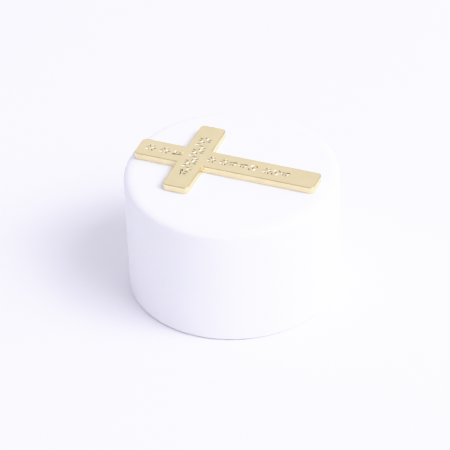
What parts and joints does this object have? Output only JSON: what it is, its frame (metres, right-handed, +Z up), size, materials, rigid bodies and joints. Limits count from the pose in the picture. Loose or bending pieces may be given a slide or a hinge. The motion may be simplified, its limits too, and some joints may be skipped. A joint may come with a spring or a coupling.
{
  "type": "pillar candle",
  "caption": "Low white pillar candle with a rounded top edge and a flat gold-plated cross pinned to its top, for a wedding table.",
  "frame": {"origin": "centre of the candle's base, on its axis", "axes": "+Z up along the candle's axis; +Y towards the head of the cross; +X along the crossbar"},
  "size_m": [0.08, 0.08, 0.0517],
  "materials": {
    "white_wax": "satin",
    "core_wax": "matte",
    "cotton_wick": "matte",
    "tinned_steel": "satin",
    "gold_plate": "satin",
    "pin_metal": "satin"
  },
  "bodies": {
    "candle": {"outer_wax_coat": "white_wax", "wax_core": "core_wax", "wick": "cotton_wick", "wick_tab": "tinned_steel"},
    "cross": {"cross_plate": "gold_plate", "cross_pin_crossing": "pin_metal", "cross_pin_foot": "pin_metal"}
  },
  "joints": [
    {"name": "cross_lift", "type": "slide", "parent": "candle", "child": "cross", "axis": [0, 0, 1], "range_m": [0, 0.03]}
  ]
}
